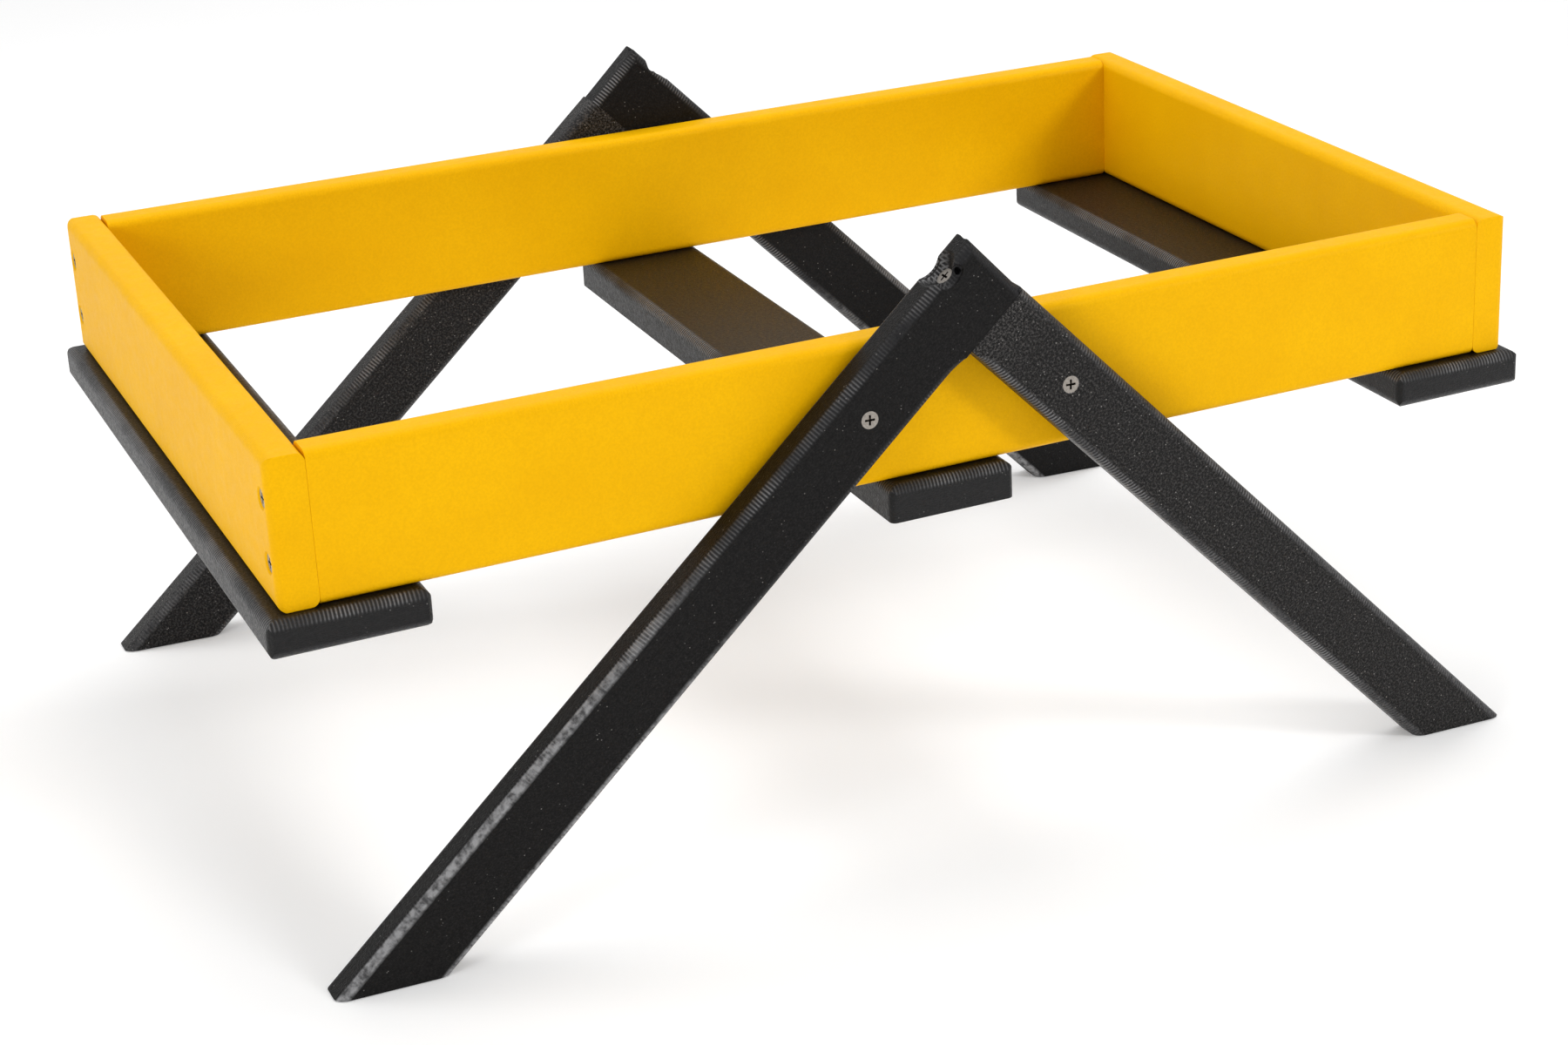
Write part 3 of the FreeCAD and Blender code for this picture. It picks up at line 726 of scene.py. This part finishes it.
side_board("near_side_board", NEAR)
side_board("far_side_board", FAR)
end_board("left_end_board", LEFT, [])
end_board("right_end_board", RIGHT, [
    lump("DIFFERENCE", (37.0, 15.6, 1.7 - FRAME_WIDTH / 2), 1.5, 31, (1.5, 1.0, 0.7)),
])
left_edge = -FRAME_LENGTH / 2 - LEFT_SLAT_OVERHANG
right_edge = FRAME_LENGTH / 2 + RIGHT_SLAT_OVERHANG
slat("left_slat", left_edge + END_SLAT_WIDTH / 2, END_SLAT_WIDTH, True)
slat("middle_slat", 0.0, MIDDLE_SLAT_WIDTH, False)
slat("right_slat", right_edge - END_SLAT_WIDTH / 2, END_SLAT_WIDTH, True)
sink_height = LEG_LENGTH - APEX_SCREW_DROP
leg("near_through_leg", NEAR, LEFT, True, [
    lump("DIFFERENCE", (3.0, 1.0, sink_height + 1.5), 5.4, 11, (1.0, 0.8, 1.3)),
    lump("DIFFERENCE", (0.0, 16.5, sink_height - 2.0), 4.6, 12, (0.9, 0.9, 1.5)),
    lump("DIFFERENCE", (7.0, 4.0, sink_height + 6.0), 3.2, 13, (1.2, 0.7, 0.9)),
    lump("DIFFERENCE", (1.0, 9.0, LEG_LENGTH + 0.6), 1.6, 14, (1.6, 2.6, 0.7)),
    lump("UNION", (38.6, 1.4, LEG_LENGTH - 0.9), 0.9, 15, (1.0, 0.8, 1.0)),
])
leg("near_butted_leg", NEAR, RIGHT, False, [])
leg("far_through_leg", FAR, RIGHT, True, [
    lump("DIFFERENCE", (-2.0, 16.0, sink_height + 1.0), 4.6, 21, (1.0, 0.8, 1.3)),
    lump("DIFFERENCE", (0.0, 3.0, sink_height + 5.0), 3.4, 22, (1.0, 1.1, 1.2)),
    lump("DIFFERENCE", (-1.0, 7.0, LEG_LENGTH + 0.5), 1.5, 23, (1.6, 2.4, 0.7)),
])
leg("far_butted_leg", FAR, LEFT, False, [])

for node_name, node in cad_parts.items():
    if node_name.endswith(("screws", "screw")):
        for material_slot in node.material_slots:
            material_slot.material = STEEL


# ---- floor, light and camera ----------------------------------------------------------------

FLOOR_RADIUS = 9.0
FLOOR_HEIGHT = -0.0005
STAND_MIDDLE = (0, 0, 0.2)

floor_nodes = Nodes("pale_floor", is_board=False)
floor_tone = floor_nodes.blend(floor_nodes.noise(3.0, 2.0), FLOOR_DULL, FLOOR_BRIGHT)
floor_nodes.link(floor_tone, floor_nodes.shader.inputs["Base Color"])
floor_nodes.shader.inputs["Roughness"].default_value = 0.9
floor_nodes.shader.inputs["Emission Color"].default_value = WHITE
floor_nodes.shader.inputs["Emission Strength"].default_value = 0.17
floor_nodes.shader.inputs["Specular IOR Level"].default_value = 0.1
floor_bm = bmesh.new()
bmesh.ops.create_circle(floor_bm, cap_ends=True, segments=96, radius=FLOOR_RADIUS)
floor = bpy.data.objects.new("floor", to_mesh(floor_bm, "floor"))
floor.data.materials.append(floor_nodes.material)
floor.location.z = FLOOR_HEIGHT
bpy.context.scene.collection.objects.link(floor)

# the surroundings are dimmer in front of the stand than behind it
world = bpy.data.worlds.new("studio")
world.use_nodes = True
background = world.node_tree.nodes["Background"]
background.inputs["Color"].default_value = WHITE
direction = world.node_tree.nodes.new("ShaderNodeTexCoord")
parts = world.node_tree.nodes.new("ShaderNodeSeparateXYZ")
glow = world.node_tree.nodes.new("ShaderNodeMapRange")
set_inputs(glow, {"From Min": -0.9, "From Max": 0.6, "To Min": 0.38, "To Max": 0.85})
world.node_tree.links.new(direction.outputs["Generated"], parts.inputs[0])
world.node_tree.links.new(parts.outputs["Y"], glow.inputs["Value"])
world.node_tree.links.new(glow.outputs[0], background.inputs["Strength"])
bpy.context.scene.world = world


def softbox(name, location, size, power):
    light = bpy.data.lights.new(name, "AREA")
    light.shape = "RECTANGLE"
    light.size, light.size_y = size
    light.energy = power
    lamp = bpy.data.objects.new(name, light)
    bpy.context.scene.collection.objects.link(lamp)
    lamp.location = location
    lamp.rotation_mode = "QUATERNION"
    toward = Vector(STAND_MIDDLE) - Vector(location)
    lamp.rotation_quaternion = toward.to_track_quat("-Z", "Y")


softbox("right_softbox", (1.9, -2.3, 1.7), (0.7, 0.7), 35)
softbox("left_softbox", (-2.3, -1.3, 1.1), (0.8, 0.8), 18)
softbox("top_softbox", (0.1, 0.5, 2.4), (1.6, 1.2), 22)

# camera fitted to the photo: metres, degrees and pixels
CAMERA_PLACE = (-0.618148, -1.410984, 0.733274)
CAMERA_AZIMUTH = math.radians(-26.1069)
CAMERA_ELEVATION = math.radians(20.0422)
CAMERA_ROLL = math.radians(-0.3747)
PHOTO_WIDTH, PHOTO_HEIGHT = 1800, 1200
FOCAL_LENGTH = 3455.17
AXIS_AT = (1030.0, 450.0)
SENSOR_WIDTH = 36.0
CLIP_START = 0.01

back = Vector((
    math.sin(CAMERA_AZIMUTH) * math.cos(CAMERA_ELEVATION),
    -math.cos(CAMERA_AZIMUTH) * math.cos(CAMERA_ELEVATION),
    math.sin(CAMERA_ELEVATION),
))
level_right = Vector((math.cos(CAMERA_AZIMUTH), math.sin(CAMERA_AZIMUTH), 0))
level_up = back.cross(level_right)
right = level_right * math.cos(CAMERA_ROLL) + level_up * math.sin(CAMERA_ROLL)
up = level_up * math.cos(CAMERA_ROLL) - level_right * math.sin(CAMERA_ROLL)
lens = bpy.data.cameras.new("camera")
lens.sensor_fit = "HORIZONTAL"
lens.sensor_width = SENSOR_WIDTH
lens.lens = FOCAL_LENGTH * SENSOR_WIDTH / PHOTO_WIDTH
lens.shift_x = (PHOTO_WIDTH / 2 - AXIS_AT[0]) / PHOTO_WIDTH
lens.shift_y = (AXIS_AT[1] - PHOTO_HEIGHT / 2) / PHOTO_WIDTH
lens.clip_start = CLIP_START
camera = bpy.data.objects.new("camera", lens)
bpy.context.scene.collection.objects.link(camera)
turn = Matrix((right, up, back)).transposed().to_4x4()
camera.matrix_world = Matrix.Translation(CAMERA_PLACE) @ turn
bpy.context.scene.camera = camera
bpy.context.scene.view_settings.view_transform = "Standard"
